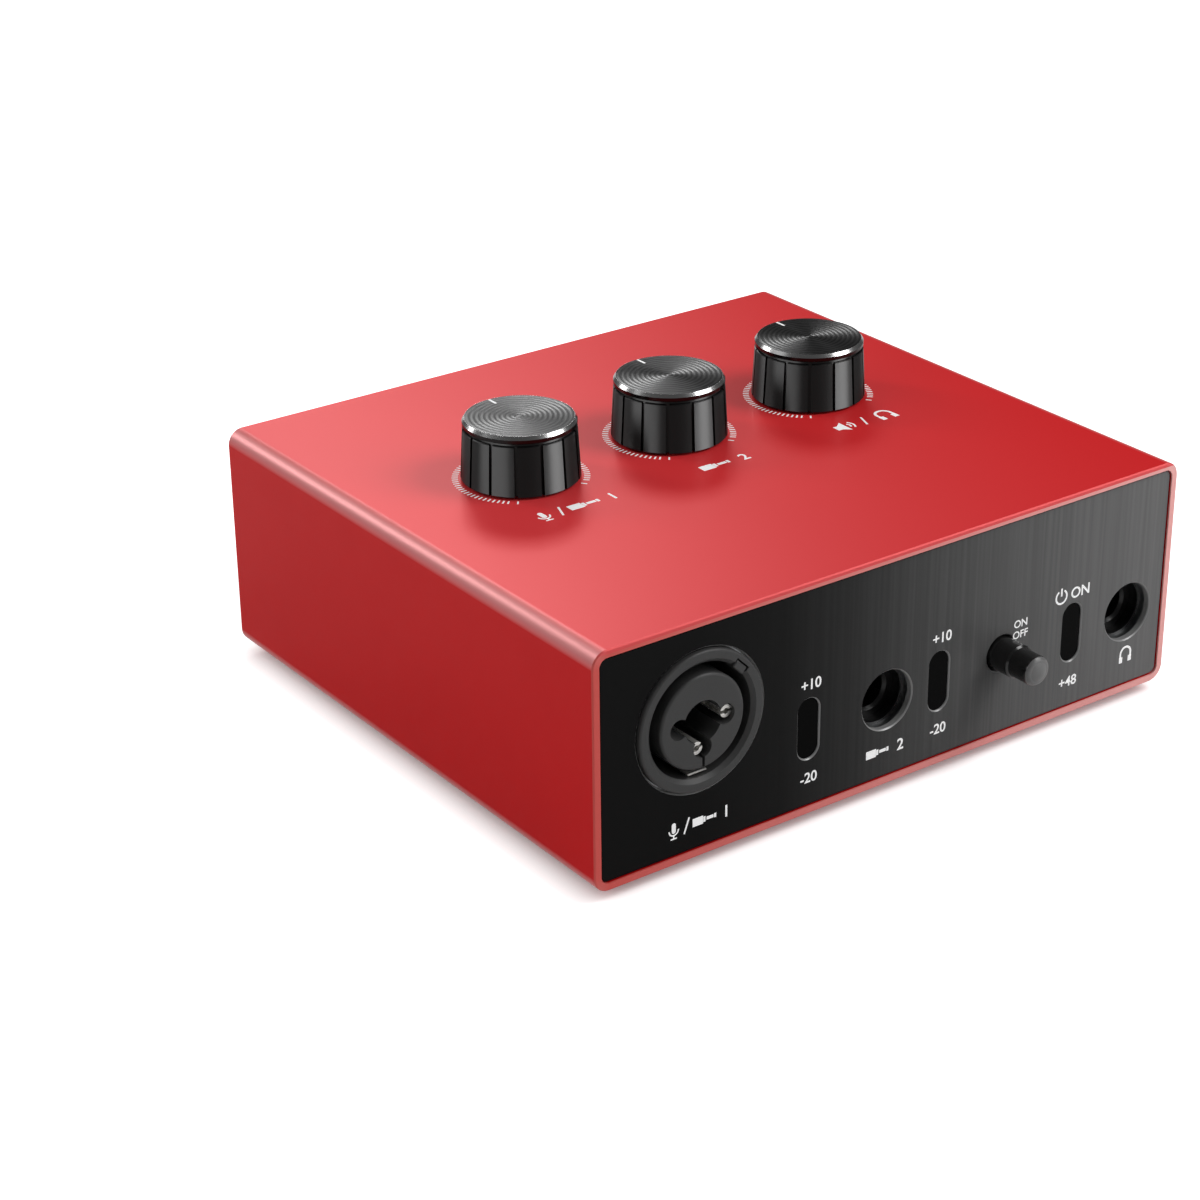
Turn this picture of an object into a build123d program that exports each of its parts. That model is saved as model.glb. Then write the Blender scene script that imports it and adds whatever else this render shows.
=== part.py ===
"""Desktop audio interface: an extruded sleeve with two boards, knobs on top, sockets at both ends.

Frame: millimetres, +X to the right seen from the front, +Y to the rear, +Z up.
The origin is on the surface that the feet stand on, under the middle of the whole object.
"""
import os
from math import cos, radians, sin

from build123d import *

# ---------------------------------------------------------------- driving dimensions
# Sleeve: one aluminium extrusion, open at both ends
sleeve_width = 122.0
sleeve_height = 41.2
sleeve_depth = 109.5
sleeve_wall = 1.3
sleeve_corner = 2.8
front_bevel = 0.2
rear_bevel = 0.6
foot_height = 1.8
foot_radius = 5.5
foot_inset = 13.0

# End plates
fascia_recess = 0.3
fascia_thickness = 1.2
front_plate_thickness = 1.4
rear_recess = 0.5
rear_panel_thickness = 1.5
panel_gap = 0.15
button_proud = 8.8

# Boards
board_thickness = 1.6
main_board_z = 9.6
control_board_z = 30.4

# Front controls and sockets, heights above the sleeve's underside
combo_x = -40.6
combo_height = 23.7
jack_height = 15.3
instrument_x = -2.55
headphone_x = 51.6
monitor_x = 22.45
switch_height = 16.2
window_xs = (-18.95, 8.55, 38.4)
window_width = 4.3
window_height = 10.8

# Rear sockets
usb_x = -40.0
phantom_x = -16.0
output_xs = (12.0, 38.0)

# Knobs on the top
knob_centre_x = -0.5
knob_pitch = 31.1
knob_y = 6.55
knob_count = 3
knob_height = 10.95
knob_radius = 9.65
knob_base_radius = 10.15
knob_grooves = 14

# Sockets and shafts
plug_bore = 3.25
plug_reach = 31.0
shaft_radius = 3.0
shaft_clearance = 0.05
press_travel = 2.5

# ---------------------------------------------------------------- derived places
front_y = -sleeve_depth / 2
rear_y = sleeve_depth / 2
under_z = foot_height
top_z = foot_height + sleeve_height
middle_z = foot_height + sleeve_height / 2
cavity_width = sleeve_width - 2 * sleeve_wall
cavity_height = sleeve_height - 2 * sleeve_wall
cavity_corner = sleeve_corner - sleeve_wall

fascia_y = front_y + fascia_recess
front_plate_y = fascia_y + fascia_thickness
front_inner_y = front_plate_y + front_plate_thickness
rear_outer_y = rear_y - rear_recess
rear_inner_y = rear_outer_y - rear_panel_thickness

combo_z = under_z + combo_height
jack_z = under_z + jack_height
switch_z = under_z + switch_height
board_top = main_board_z + board_thickness
control_top = control_board_z + board_thickness
knob_xs = [knob_centre_x + knob_pitch * (i - 1) for i in range(knob_count)]

boss_radius = 3.1
boss_x = cavity_width / 2 - boss_radius + 0.2
boss_z = cavity_height / 2 - boss_radius + 0.2
boss_places = [(x, middle_z + z) for x in (-boss_x, boss_x) for z in (-boss_z, boss_z)]
screw_radius = 1.25
screw_hole = 1.3

os.makedirs("parts", exist_ok=True)


def finish(builder, node):
    """Label a finished piece and write its STEP file."""
    builder.part.label = node
    export_step(builder.part, f"parts/{node}.step")


def front_plane(y):
    """The sketch plane at depth y that faces the front: its own axes are X and Z."""
    return Plane.XZ.offset(-y)


def upright_plane(x, y, z=0):
    """A plane through a vertical axis, for profiles that turn about that axis."""
    return Plane(origin=(x, y, z), x_dir=(1, 0, 0), z_dir=(0, -1, 0))


# ---------------------------------------------------------------- sleeve
# A tube with rounded long edges. Inside, four screw channels and two pairs of board rails
# run along it, machined back at both ends so that the end plates sit inside the rim. The front
# rim is cut almost sharp, the rear one takes a wider bevel.
rail_reach = 1.25
rail_thickness = 1.1
rail_play = 0.1
pot_hole = 3.6

with BuildPart() as sleeve:
    with BuildSketch(front_plane(front_y)):
        with Locations((0, middle_z)):
            RectangleRounded(sleeve_width, sleeve_height, sleeve_corner)
            RectangleRounded(cavity_width, cavity_height, cavity_corner, mode=Mode.SUBTRACT)
    extrude(amount=-sleeve_depth)
    chamfer(faces().sort_by(Axis.Y)[0].outer_wire().edges(), length=front_bevel)
    chamfer(faces().sort_by(Axis.Y)[-1].outer_wire().edges(), length=rear_bevel)
    with BuildSketch(front_plane(front_inner_y)):
        with Locations(*boss_places):
            Circle(boss_radius)
        for side in (-1, 1):
            rail_x = side * (cavity_width / 2 - rail_reach / 2 + 0.1)
            lower_rail_z = main_board_z - rail_play - rail_thickness / 2
            upper_rail_z = board_top + rail_play + rail_thickness / 2
            with Locations((rail_x, lower_rail_z), (rail_x, upper_rail_z)):
                Rectangle(rail_reach, rail_thickness)
        with Locations(*boss_places):
            Circle(screw_hole, mode=Mode.SUBTRACT)
    extrude(amount=-(rear_inner_y - front_inner_y))
    with Locations(*[(x, knob_y, top_z) for x in knob_xs]):
        Hole(pot_hole, depth=sleeve_wall + 0.5)
finish(sleeve, "sleeve")

# ---------------------------------------------------------------- feet
# Moulded rubber discs, stuck under the four corners, with a bevelled edge and a shallow dish.
foot_x = sleeve_width / 2 - foot_inset
foot_y = sleeve_depth / 2 - foot_inset
foot_names = {
    "foot_front_left": (-foot_x, -foot_y),
    "foot_front_right": (foot_x, -foot_y),
    "foot_rear_left": (-foot_x, foot_y),
    "foot_rear_right": (foot_x, foot_y),
}
for foot_name, (x, y) in foot_names.items():
    with BuildPart() as foot:
        with BuildSketch(upright_plane(x, y)):
            with BuildLine():
                Polyline(
                    (0, 0.3),
                    (foot_radius - 2.2, 0.3),
                    (foot_radius - 1.8, 0),
                    (foot_radius - 0.5, 0),
                    (foot_radius, 0.6),
                    (foot_radius, foot_height),
                    (0, foot_height),
                    close=True,
                )
            make_face()
        revolve(axis=Axis((x, y, 0), (0, 0, 1)))
    finish(foot, foot_name)

# ---------------------------------------------------------------- front fascia and plate
# The fascia is a polished black plate bonded to the chassis plate behind it. The chassis
# plate is screwed to the sleeve's channels and is what the sockets bear on.
plate_width = cavity_width - 2 * panel_gap
plate_height = cavity_height - 2 * panel_gap
plate_corner = cavity_corner - panel_gap
combo_flange = 12.0
combo_barrel = 11.4
flange_gap = 0.25
edge_chamfer = 0.2
jack_hole = 5.25
button_radius = 2.95
button_hole = 3.3


def plate_outline():
    """The outline that both end plates share."""
    with Locations((0, middle_z)):
        RectangleRounded(plate_width, plate_height, plate_corner)


def front_cutouts(combo_hole, extra):
    """The openings of the front: the combined socket's, and the others, larger by extra all round."""
    with Locations((combo_x, combo_z)):
        Circle(combo_hole, mode=Mode.SUBTRACT)
    with Locations((instrument_x, jack_z), (headphone_x, jack_z)):
        Circle(jack_hole + extra, mode=Mode.SUBTRACT)
    with Locations((monitor_x, switch_z)):
        Circle(button_hole + extra, mode=Mode.SUBTRACT)
    with Locations(*[(x, jack_z) for x in window_xs]):
        SlotOverall(window_height + 2 * extra, window_width + 2 * extra, rotation=90, mode=Mode.SUBTRACT)


with BuildPart() as front_fascia:
    with BuildSketch(front_plane(fascia_y)):
        plate_outline()
        front_cutouts(combo_flange + flange_gap, 0)
    extrude(amount=-fascia_thickness)
    front_face = faces().sort_by(Axis.Y)[0]
    chamfer([edge for wire in front_face.inner_wires() for edge in wire.edges()], length=edge_chamfer)
    chamfer(front_face.outer_wire().edges(), length=edge_chamfer)
finish(front_fascia, "front_fascia")

screw_head = 2.4
recess_long = 2.2
recess_wide = 0.5
with BuildPart() as front_plate:
    with BuildSketch(front_plane(front_plate_y)):
        plate_outline()
        front_cutouts(combo_barrel + 0.25, 0.15)
    extrude(amount=-front_plate_thickness)
    for x, z in boss_places:
        with BuildSketch(front_plane(front_plate_y)) as sink_wide:
            with Locations((x, z)):
                Circle(screw_head + 0.05)
        with BuildSketch(front_plane(front_inner_y)) as sink_narrow:
            with Locations((x, z)):
                Circle(screw_hole)
        loft(mode=Mode.SUBTRACT)
finish(front_plate, "front_plate")

# Four countersunk screws, flush under the fascia
screw_length = 9.0
with BuildPart() as front_screws:
    for x, z in boss_places:
        with BuildSketch(Plane(origin=(x, front_plate_y, z))):
            with BuildLine():
                Polyline(
                    (0, 0.05),
                    (screw_head, 0.05),
                    (screw_radius, front_plate_thickness),
                    (screw_radius, screw_length - 0.8),
                    (0.5, screw_length),
                    (0, screw_length),
                    close=True,
                )
            make_face()
        revolve(axis=Axis((x, 0, z), (0, 1, 0)))
        with BuildSketch(front_plane(front_plate_y)):
            with Locations((x, z)):
                Rectangle(recess_long, recess_wide)
                Rectangle(recess_wide, recess_long)
        extrude(amount=-0.7, mode=Mode.SUBTRACT)
finish(front_screws, "front_screws")

# ---------------------------------------------------------------- combo socket
# A combined three-pole and 6.35 mm socket. The shell's round flange lies on the chassis plate and
# stands a little proud of the fascia. Behind its bevelled mouth, a ring groove takes the mating
# shell, round an insulating core with a plug bore and three pin lobes.
flange_proud = 0.6
groove_radius = 9.8
core_radius = 8.1
groove_depth = 12.6
mouth_bevel = 0.65
core_base = 2.0
core_round = 0.5
core_bore = 3.65
lobe_radius = 1.75
lobe_reach = 4.45
lobe_depth = 12.0
lobe_angles = (0, 180, 270)
combo_half_width = 12.2
combo_roof = 38.6
combo_front = fascia_y - flange_proud
pocket_floor = combo_front + groove_depth + core_base
combo_bore_end = combo_front + plug_reach
combo_back = combo_bore_end + 1.6
tab_angle = 45
tab_inner = 9.5
tab_outer = 10.8
tab_width = 2.6
tab_length = 3.0
tab_travel = 0.8
tab_gap = 0.25

with BuildPart() as combo_shell:
    with BuildSketch(front_plane(combo_front)):
        with Locations((combo_x, combo_z)):
            Circle(combo_flange)
    extrude(amount=-(front_plate_y - combo_front))
    with BuildSketch(front_plane(front_plate_y)):
        with Locations((combo_x, combo_z)):
            Circle(combo_barrel)
    extrude(amount=-front_plate_thickness)
    with BuildSketch(front_plane(front_inner_y)):
        with Locations((combo_x, (board_top + combo_roof) / 2)):
            RectangleRounded(2 * combo_half_width, combo_roof - board_top, 1.5)
        with Locations((combo_x, combo_z)):
            for side in (-1, 1):
                with Locations((side * combo_half_width, 0)):
                    Rectangle(0.8, 9, mode=Mode.SUBTRACT)
    extrude(amount=-(combo_back - front_inner_y))
    with BuildSketch(front_plane(combo_front)):
        with Locations((combo_x, combo_z)):
            Circle(groove_radius)
    extrude(amount=-(pocket_floor - combo_front), mode=Mode.SUBTRACT)
    with BuildSketch(front_plane(pocket_floor)):
        with Locations((combo_x, combo_z)):
            Circle(plug_bore)
    extrude(amount=-(combo_bore_end - pocket_floor), mode=Mode.SUBTRACT)
    flange_face = faces().sort_by(Axis.Y)[0]
    chamfer(flange_face.inner_wires()[0].edges(), length=mouth_bevel)
    fillet(faces().sort_by(Axis.Y)[0].outer_wire().edges(), radius=0.4)
    # pocket of the release tab, open to the ring groove
    with BuildSketch(front_plane(combo_front)):
        with Locations((combo_x, combo_z)):
            with PolarLocations(groove_radius, 1, start_angle=tab_angle):
                Rectangle(2 * (tab_outer + tab_gap - groove_radius), tab_width + 2 * tab_gap)
    extrude(amount=-(tab_length + tab_travel + tab_gap), mode=Mode.SUBTRACT)
finish(combo_shell, "combo_shell")

with BuildPart() as combo_core:
    with BuildSketch(front_plane(combo_front)):
        with Locations((combo_x, combo_z)):
            Circle(core_radius)
    extrude(amount=-groove_depth)
    fillet(faces().sort_by(Axis.Y)[0].outer_wire().edges(), radius=core_round)
    with BuildSketch(front_plane(combo_front + groove_depth)):
        with Locations((combo_x, combo_z)):
            Circle(groove_radius - 0.05)
    extrude(amount=-core_base)
    with BuildSketch(front_plane(combo_front)):
        with Locations((combo_x, combo_z)):
            with Locations(*[(lobe_reach * cos(radians(a)), lobe_reach * sin(radians(a))) for a in lobe_angles]):
                Circle(lobe_radius)
            with Locations((0.2, -core_radius + 1)):
                Rectangle(0.5, 2.4)
    extrude(amount=-lobe_depth, mode=Mode.SUBTRACT)
    with BuildSketch(front_plane(combo_front)):
        with Locations((combo_x, combo_z)):
            Circle(core_bore)
    extrude(amount=-(groove_depth + core_base), mode=Mode.SUBTRACT)
finish(combo_core, "combo_core")

# Three split contact tubes, each seated against the wall of its lobe, the left one further in
contact_outer = 1.1
contact_inner = 0.5
contact_slot = 0.5
slot_length = 4.5
contact_shift = lobe_radius - contact_outer
contact_seats = (0, 180, 205)
contact_setbacks = (0.8, 2.6, 0.8)
with BuildPart() as combo_contacts:
    for angle, seat, setback in zip(lobe_angles, contact_seats, contact_setbacks):
        contact_x = combo_x + lobe_reach * cos(radians(angle)) + contact_shift * cos(radians(seat))
        contact_z = combo_z + lobe_reach * sin(radians(angle)) + contact_shift * sin(radians(seat))
        with BuildSketch(front_plane(combo_front + setback)):
            with Locations((contact_x, contact_z)):
                Circle(contact_outer)
                Circle(contact_inner, mode=Mode.SUBTRACT)
        extrude(amount=-(lobe_depth - setback))
        with BuildSketch(front_plane(combo_front + setback)):
            with Locations((contact_x, contact_z)):
                Rectangle(3 * contact_outer, contact_slot, rotation=seat)
        extrude(amount=-slot_length, mode=Mode.SUBTRACT)
finish(combo_contacts, "combo_contacts")

# A flat nickel leaf at the bottom of the ring groove, which earths the mating shell
with BuildPart() as combo_ground_spring:
    with BuildSketch(front_plane(combo_front + 1.4)):
        with Locations((combo_x, combo_z - 9.3)):
            Rectangle(3.6, 0.3)
    extrude(amount=-(groove_depth - 1.4))
finish(combo_ground_spring, "combo_ground_spring")

# The release tab: a small bar in the flange that is pressed in to free the mating plug
with BuildPart() as combo_release_tab:
    with BuildSketch(front_plane(combo_front)):
        with Locations((combo_x, combo_z)):
            with PolarLocations((tab_inner + tab_outer) / 2, 1, start_angle=tab_angle):
                RectangleRounded(tab_outer - tab_inner, tab_width, 0.25)
    extrude(amount=-tab_length)
    chamfer(faces().sort_by(Axis.Y)[0].edges(), length=0.15)
finish(combo_release_tab, "combo_release_tab")

# ---------------------------------------------------------------- 6.35 mm jacks
# A moulded housing on the main board: bore, three contact leaves in grooves of the bore wall.
# Front jacks bear on the front plate and have a dished mouth with a bevelled lead-in. Rear ones
# have a threaded nose, held by a hexagon nut.
jack_width = 13.8
jack_roof = jack_z + (jack_z - board_top)
leaf_angles = (110, 230, 350)
leaf_width = 1.4
leaf_thickness = 0.5
nose_radius = 5.2
nose_reach = 3.0
mouth_radius = 4.95
mouth_depth = 2.0
lead_in = 0.5
groove_start = 2.8
leaf_step = 6.0


def jack_housing(x, mouth_y, inward, nose):
    """A jack housing whose mouth is at mouth_y; inward is +1 towards the rear, -1 to the front."""
    length = plug_reach - 2
    with BuildPart() as housing:
        body_y = mouth_y + inward * nose
        with BuildSketch(front_plane(body_y)):
            with Locations((x, jack_z)):
                RectangleRounded(jack_width, jack_roof - board_top, 1.2)
        extrude(amount=-inward * (length - nose))
        # a waist on both sides, behind the shoulder that bears on the panel
        with BuildSketch(front_plane(body_y + inward * 4)):
            for side in (-1, 1):
                with Locations((x + side * jack_width / 2, jack_z)):
                    Rectangle(1.6, 2 * jack_roof)
        extrude(amount=-inward * (length - nose - 10), mode=Mode.SUBTRACT)
        if nose:
            with BuildSketch(front_plane(mouth_y)):
                with Locations((x, jack_z)):
                    Circle(nose_radius)
            extrude(amount=-inward * nose)
        with BuildSketch(front_plane(mouth_y)):
            with Locations((x, jack_z)):
                Circle(plug_bore)
        extrude(amount=-inward * (length - 1), mode=Mode.SUBTRACT)
        if not nose:
            with BuildSketch(front_plane(mouth_y)):
                with Locations((x, jack_z)):
                    Circle(mouth_radius)
            extrude(amount=-inward * mouth_depth, mode=Mode.SUBTRACT)
            dish = faces().filter_by(Axis.Y).filter_by(lambda face: abs(face.center().Y - mouth_y - mouth_depth) < 0.01)
            chamfer(dish[0].inner_wires()[0].edges(), length=lead_in)
        with BuildSketch(front_plane(mouth_y + inward * groove_start)):
            with Locations((x, jack_z)):
                for angle in leaf_angles:
                    with PolarLocations(plug_bore, 1, start_angle=angle):
                        Rectangle(2 * leaf_thickness + 0.2, leaf_width + 0.1)
        extrude(amount=-inward * (length - 1 - groove_start), mode=Mode.SUBTRACT)
    return housing


def jack_contacts(x, mouth_y, inward):
    """Three leaves that lie just under the bore wall, each starting a little further in."""
    with BuildPart() as contacts:
        for place, angle in enumerate(leaf_angles):
            start = groove_start + 0.2 + leaf_step * ((place + 2) % 3)
            leaf_end = plug_reach - 4
            with BuildSketch(front_plane(mouth_y + inward * start)):
                with Locations((x, jack_z)):
                    with PolarLocations(plug_bore + 0.1 + leaf_thickness / 2, 1, start_angle=angle):
                        Rectangle(leaf_thickness - 0.02, leaf_width)
            extrude(amount=-inward * (leaf_end - start))
    return contacts


nose_length = rear_panel_thickness + nose_reach
output_mouth = rear_outer_y + nose_reach
finish(jack_housing(instrument_x, front_inner_y, 1, 0), "instrument_jack")
finish(jack_contacts(instrument_x, front_inner_y, 1), "instrument_contacts")
finish(jack_housing(headphone_x, front_inner_y, 1, 0), "headphone_jack")
finish(jack_contacts(headphone_x, front_inner_y, 1), "headphone_contacts")
for side_name, x in zip(("right", "left"), output_xs):
    finish(jack_housing(x, output_mouth, -1, nose_length), f"output_jack_{side_name}")
    finish(jack_contacts(x, output_mouth, -1), f"output_contacts_{side_name}")

nut_flats = 14.0
nut_thickness = 2.2
with BuildPart() as output_nuts:
    with BuildSketch(front_plane(rear_outer_y)):
        with Locations(*[(x, jack_z) for x in output_xs]):
            RegularPolygon(nut_flats / 2, 6, major_radius=False, rotation=30)
            Circle(nose_radius + 0.05, mode=Mode.SUBTRACT)
    extrude(amount=nut_thickness, dir=(0, 1, 0))
    chamfer(faces().sort_by(Axis.Y)[-2:].edges().filter_by(GeomType.LINE), length=0.35)
finish(output_nuts, "output_nuts")

# ---------------------------------------------------------------- rear panel
usb_width = 12.0
usb_height = 11.0
usb_z = board_top + usb_height / 2
rear_button_hole = 3.35

with BuildPart() as rear_panel:
    with BuildSketch(front_plane(rear_inner_y)):
        plate_outline()
        with Locations(*[(x, jack_z) for x in output_xs]):
            Circle(nose_radius + 0.15, mode=Mode.SUBTRACT)
        with Locations((usb_x, usb_z)):
            Rectangle(usb_width + 0.5, usb_height + 0.5, mode=Mode.SUBTRACT)
        with Locations((phantom_x, switch_z)):
            Circle(rear_button_hole, mode=Mode.SUBTRACT)
        with Locations(*boss_places):
            Circle(screw_hole + 0.2, mode=Mode.SUBTRACT)
    extrude(amount=-rear_panel_thickness)
finish(rear_panel, "rear_panel")

# Four pan-head screws that hold the rear panel
pan_height = 1.3
with BuildPart() as rear_screws:
    for x, z in boss_places:
        with BuildSketch(Plane(origin=(x, rear_outer_y, z))):
            with BuildLine():
                Line((0, pan_height), (1.2, pan_height))
                Line((0, pan_height), (0, -screw_length))
                Polyline((0, -screw_length), (0.5, -screw_length), (screw_radius, -screw_length + 0.8))
                Polyline((screw_radius, -screw_length + 0.8), (screw_radius, 0), (screw_head, 0), (screw_head, 0.3))
                ThreePointArc((screw_head, 0.3), (2.0, 1.0), (1.2, pan_height))
            make_face()
        revolve(axis=Axis((x, 0, z), (0, 1, 0)))
        with BuildSketch(front_plane(rear_outer_y + pan_height)):
            with Locations((x, z)):
                Rectangle(recess_long, recess_wide)
                Rectangle(recess_wide, recess_long)
        extrude(amount=0.8, mode=Mode.SUBTRACT)
finish(rear_screws, "rear_screws")

# ---------------------------------------------------------------- USB socket
# A folded steel shield with a D-shaped mouth, and a moulded insulator with the contact tongue.
usb_depth = 16.0
usb_sheet = 0.4
usb_mouth_width = 8.5
usb_mouth_height = 7.8
usb_mouth_y = rear_y - 0.1
usb_back = usb_mouth_y - usb_depth
tongue_width = 5.7
tongue_height = 3.2
usb_cavity = 9.0


def usb_mouth(extra, mode=Mode.ADD):
    """The mouth's outline: a rectangle whose two upper corners are cut off."""
    half_width = usb_mouth_width / 2 + extra
    half_height = usb_mouth_height / 2 + extra
    corner = 2.0
    Polygon(
        (-half_width, -half_height),
        (half_width, -half_height),
        (half_width, half_height - corner),
        (half_width - corner, half_height),
        (-half_width + corner, half_height),
        (-half_width, half_height - corner),
        align=None,
        mode=mode,
    )


usb_mouth_plane = Plane(origin=(usb_x, usb_mouth_y, usb_z), x_dir=(-1, 0, 0), z_dir=(0, 1, 0))
with BuildPart() as usb_shield:
    with BuildSketch(usb_mouth_plane):
        Rectangle(usb_width, usb_height)
    extrude(amount=-usb_depth)
    fillet(edges().filter_by(Axis.Y), radius=0.6)
    with BuildSketch(usb_mouth_plane.offset(-usb_sheet)):
        Rectangle(usb_width - 2 * usb_sheet, usb_height - 2 * usb_sheet)
    extrude(amount=-usb_depth, mode=Mode.SUBTRACT)
    with BuildSketch(usb_mouth_plane):
        usb_mouth(0)
    extrude(amount=-usb_sheet, mode=Mode.SUBTRACT)
finish(usb_shield, "usb_shield")

with BuildPart() as usb_insulator:
    with BuildSketch(usb_mouth_plane.offset(-usb_sheet)):
        Rectangle(usb_width - 2 * usb_sheet - 0.04, usb_height - 2 * usb_sheet - 0.04)
    extrude(amount=-(usb_depth - usb_sheet))
    with BuildSketch(usb_mouth_plane.offset(-usb_sheet)):
        usb_mouth(0.05)
    extrude(amount=-usb_cavity, mode=Mode.SUBTRACT)
    with BuildSketch(usb_mouth_plane.offset(-usb_sheet - 0.8)):
        Rectangle(tongue_width, tongue_height)
    extrude(amount=-usb_cavity)
finish(usb_insulator, "usb_insulator")

with BuildPart() as usb_contacts:
    with BuildSketch(usb_mouth_plane.offset(-usb_sheet - 1.6)):
        for side in (-1, 1):
            with Locations((0, side * (tongue_height / 2 + 0.1))):
                with GridLocations(2.4, 0, 2, 1):
                    Rectangle(1.0, 0.2)
    extrude(amount=-(usb_cavity - 1.6))
finish(usb_contacts, "usb_contacts")

# ---------------------------------------------------------------- windows and their lights
# Each window is a smoked acrylic slot. Behind it a holder carries two lights, one above the other.
lens_recess = 0.35
lens_back = front_inner_y + 2.2
holder_depth = 7.0
light_spacing = 5.6
light_radius = 1.5
with BuildPart() as lights:
    for x in window_xs:
        for side in (-1, 1):
            light_z = jack_z + side * light_spacing / 2
            with BuildSketch(Plane(origin=(x, lens_back + 0.3, light_z))):
                with BuildLine():
                    Line((0, 0), (0, 5.5))
                    Polyline((0, 5.5), (light_radius, 5.5), (light_radius, light_radius))
                    ThreePointArc(
                        (light_radius, light_radius),
                        (light_radius * sin(radians(45)), light_radius * (1 - cos(radians(45)))),
                        (0, 0),
                    )
                make_face()
            revolve(axis=Axis((x, 0, light_z), (0, 1, 0)))
finish(lights, "window_lights")

for place, x in enumerate(window_xs, start=1):
    with BuildPart() as lens:
        with BuildSketch(front_plane(fascia_y + lens_recess)):
            with Locations((x, jack_z)):
                SlotOverall(window_height - 0.1, window_width - 0.1, rotation=90)
        extrude(amount=-(lens_back - fascia_y - lens_recess))
        with BuildSketch(front_plane(front_inner_y)):
            with Locations((x, jack_z)):
                RectangleRounded(window_width + 2.2, window_height + 0.8, 1.0)
        extrude(amount=-(lens_back - front_inner_y))
    finish(lens, f"window_lens_{place}")

    with BuildPart() as light_holder:
        with BuildSketch(front_plane(lens_back)):
            with Locations((x, (board_top + jack_z + 6.2) / 2)):
                RectangleRounded(window_width + 2.2, jack_z + 6.2 - board_top, 0.6)
            for side in (-1, 1):
                with Locations((x, jack_z + side * light_spacing / 2)):
                    Circle(light_radius + 0.05, mode=Mode.SUBTRACT)
        extrude(amount=-holder_depth)
    finish(light_holder, f"light_holder_{place}")

# ---------------------------------------------------------------- push switches
# A latching push switch on the main board, and a button whose stem runs in the switch's bore.
stem_radius = 1.5
switch_length = 13.0
switch_width = 8.0
switch_roof = 22.0
button_tip_y = front_y - button_proud
button_shoulder = front_inner_y + 2.4
switch_front = button_shoulder + press_travel + 1.5
stem_end = switch_front + 7.0
tip_radius = 2.62
tip_round = 0.9
tip_dome = 0.35
collar_reach = 4.3
collar_bevel = 0.3


def switch_body(x, facing):
    """A switch housing; facing is -1 for the front one, +1 for the rear one."""
    with BuildPart() as body:
        near = abs(switch_front)
        with BuildSketch(front_plane(facing * near)):
            with Locations((x, (board_top + switch_roof) / 2)):
                RectangleRounded(switch_width, switch_roof - board_top, 0.5)
        extrude(amount=facing * switch_length)
        with BuildSketch(front_plane(facing * near)):
            with Locations((x, switch_z)):
                Circle(stem_radius + shaft_clearance)
        extrude(amount=facing * (switch_length - 1.5), mode=Mode.SUBTRACT)
    return body


def push_button(x, facing):
    """A round button: a collar next to the panel, a narrower domed tip, and a stem."""
    tip = abs(button_tip_y)
    tip_edge = tip - tip_dome - tip_round
    dome_radius = tip_radius - tip_round
    shoulder = abs(button_shoulder)
    collar = abs(fascia_y) + collar_reach
    with BuildPart() as button:
        with BuildSketch(Plane(origin=(x, 0, switch_z))):
            with BuildLine():
                ThreePointArc((0, tip), (dome_radius / 2, tip - tip_dome / 4), (dome_radius, tip - tip_dome))
                RadiusArc((dome_radius, tip - tip_dome), (tip_radius, tip_edge), tip_round)
                Polyline(
                    (tip_radius, tip_edge),
                    (tip_radius, collar),
                    (button_radius - collar_bevel, collar),
                    (button_radius, collar - collar_bevel),
                    (button_radius, shoulder),
                    (stem_radius, shoulder),
                    (stem_radius, abs(stem_end)),
                    (0, abs(stem_end)),
                    (0, tip),
                )
            make_face()
            if facing < 0:
                mirror(about=Plane.XZ, mode=Mode.REPLACE)
        revolve(axis=Axis((x, 0, switch_z), (0, 1, 0)))
    return button


finish(switch_body(monitor_x, -1), "monitor_switch")
finish(push_button(monitor_x, -1), "monitor_button")
finish(switch_body(phantom_x, 1), "phantom_switch")
finish(push_button(phantom_x, 1), "phantom_button")

# ---------------------------------------------------------------- boards
board_gap = 0.4
mount_hole = 1.6
mount_span_x = 107.0
mount_span_y = 60.0
board_width = cavity_width - 2 * board_gap
board_front = front_inner_y + 0.6
board_rear = rear_inner_y - 0.6
with BuildPart() as main_board:
    with BuildSketch(Plane.XY.offset(main_board_z)):
        with Locations((0, (board_front + board_rear) / 2)):
            Rectangle(board_width, board_rear - board_front)
            with GridLocations(mount_span_x, mount_span_y, 2, 2):
                Circle(mount_hole, mode=Mode.SUBTRACT)
    extrude(amount=board_thickness)
finish(main_board, "main_board")

control_length = 94.0
control_depth = 24.0
control_corner = 1.5
with BuildPart() as control_board:
    with BuildSketch(Plane.XY.offset(control_board_z)):
        with Locations((knob_centre_x, knob_y)):
            RectangleRounded(control_length, control_depth, control_corner)
    extrude(amount=board_thickness)
finish(control_board, "control_board")

# ---------------------------------------------------------------- potentiometers
# Each sits on the control board, with its bushing through the sleeve's top, under a nut.
pot_width = 9.8
pot_depth = 11.4
pot_body_top = control_top + 6.8
bushing_radius = 3.45
bushing_top = top_z + 3.2
washer_radius = 5.8
washer_thickness = 0.5
pot_nut_thickness = 2.0
pot_nut_flats = 10.0
hub_bottom = top_z + 3.6
shaft_foot = control_top + 1.5
shaft_top = top_z + 8.2
flat_offset = 1.5

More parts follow.
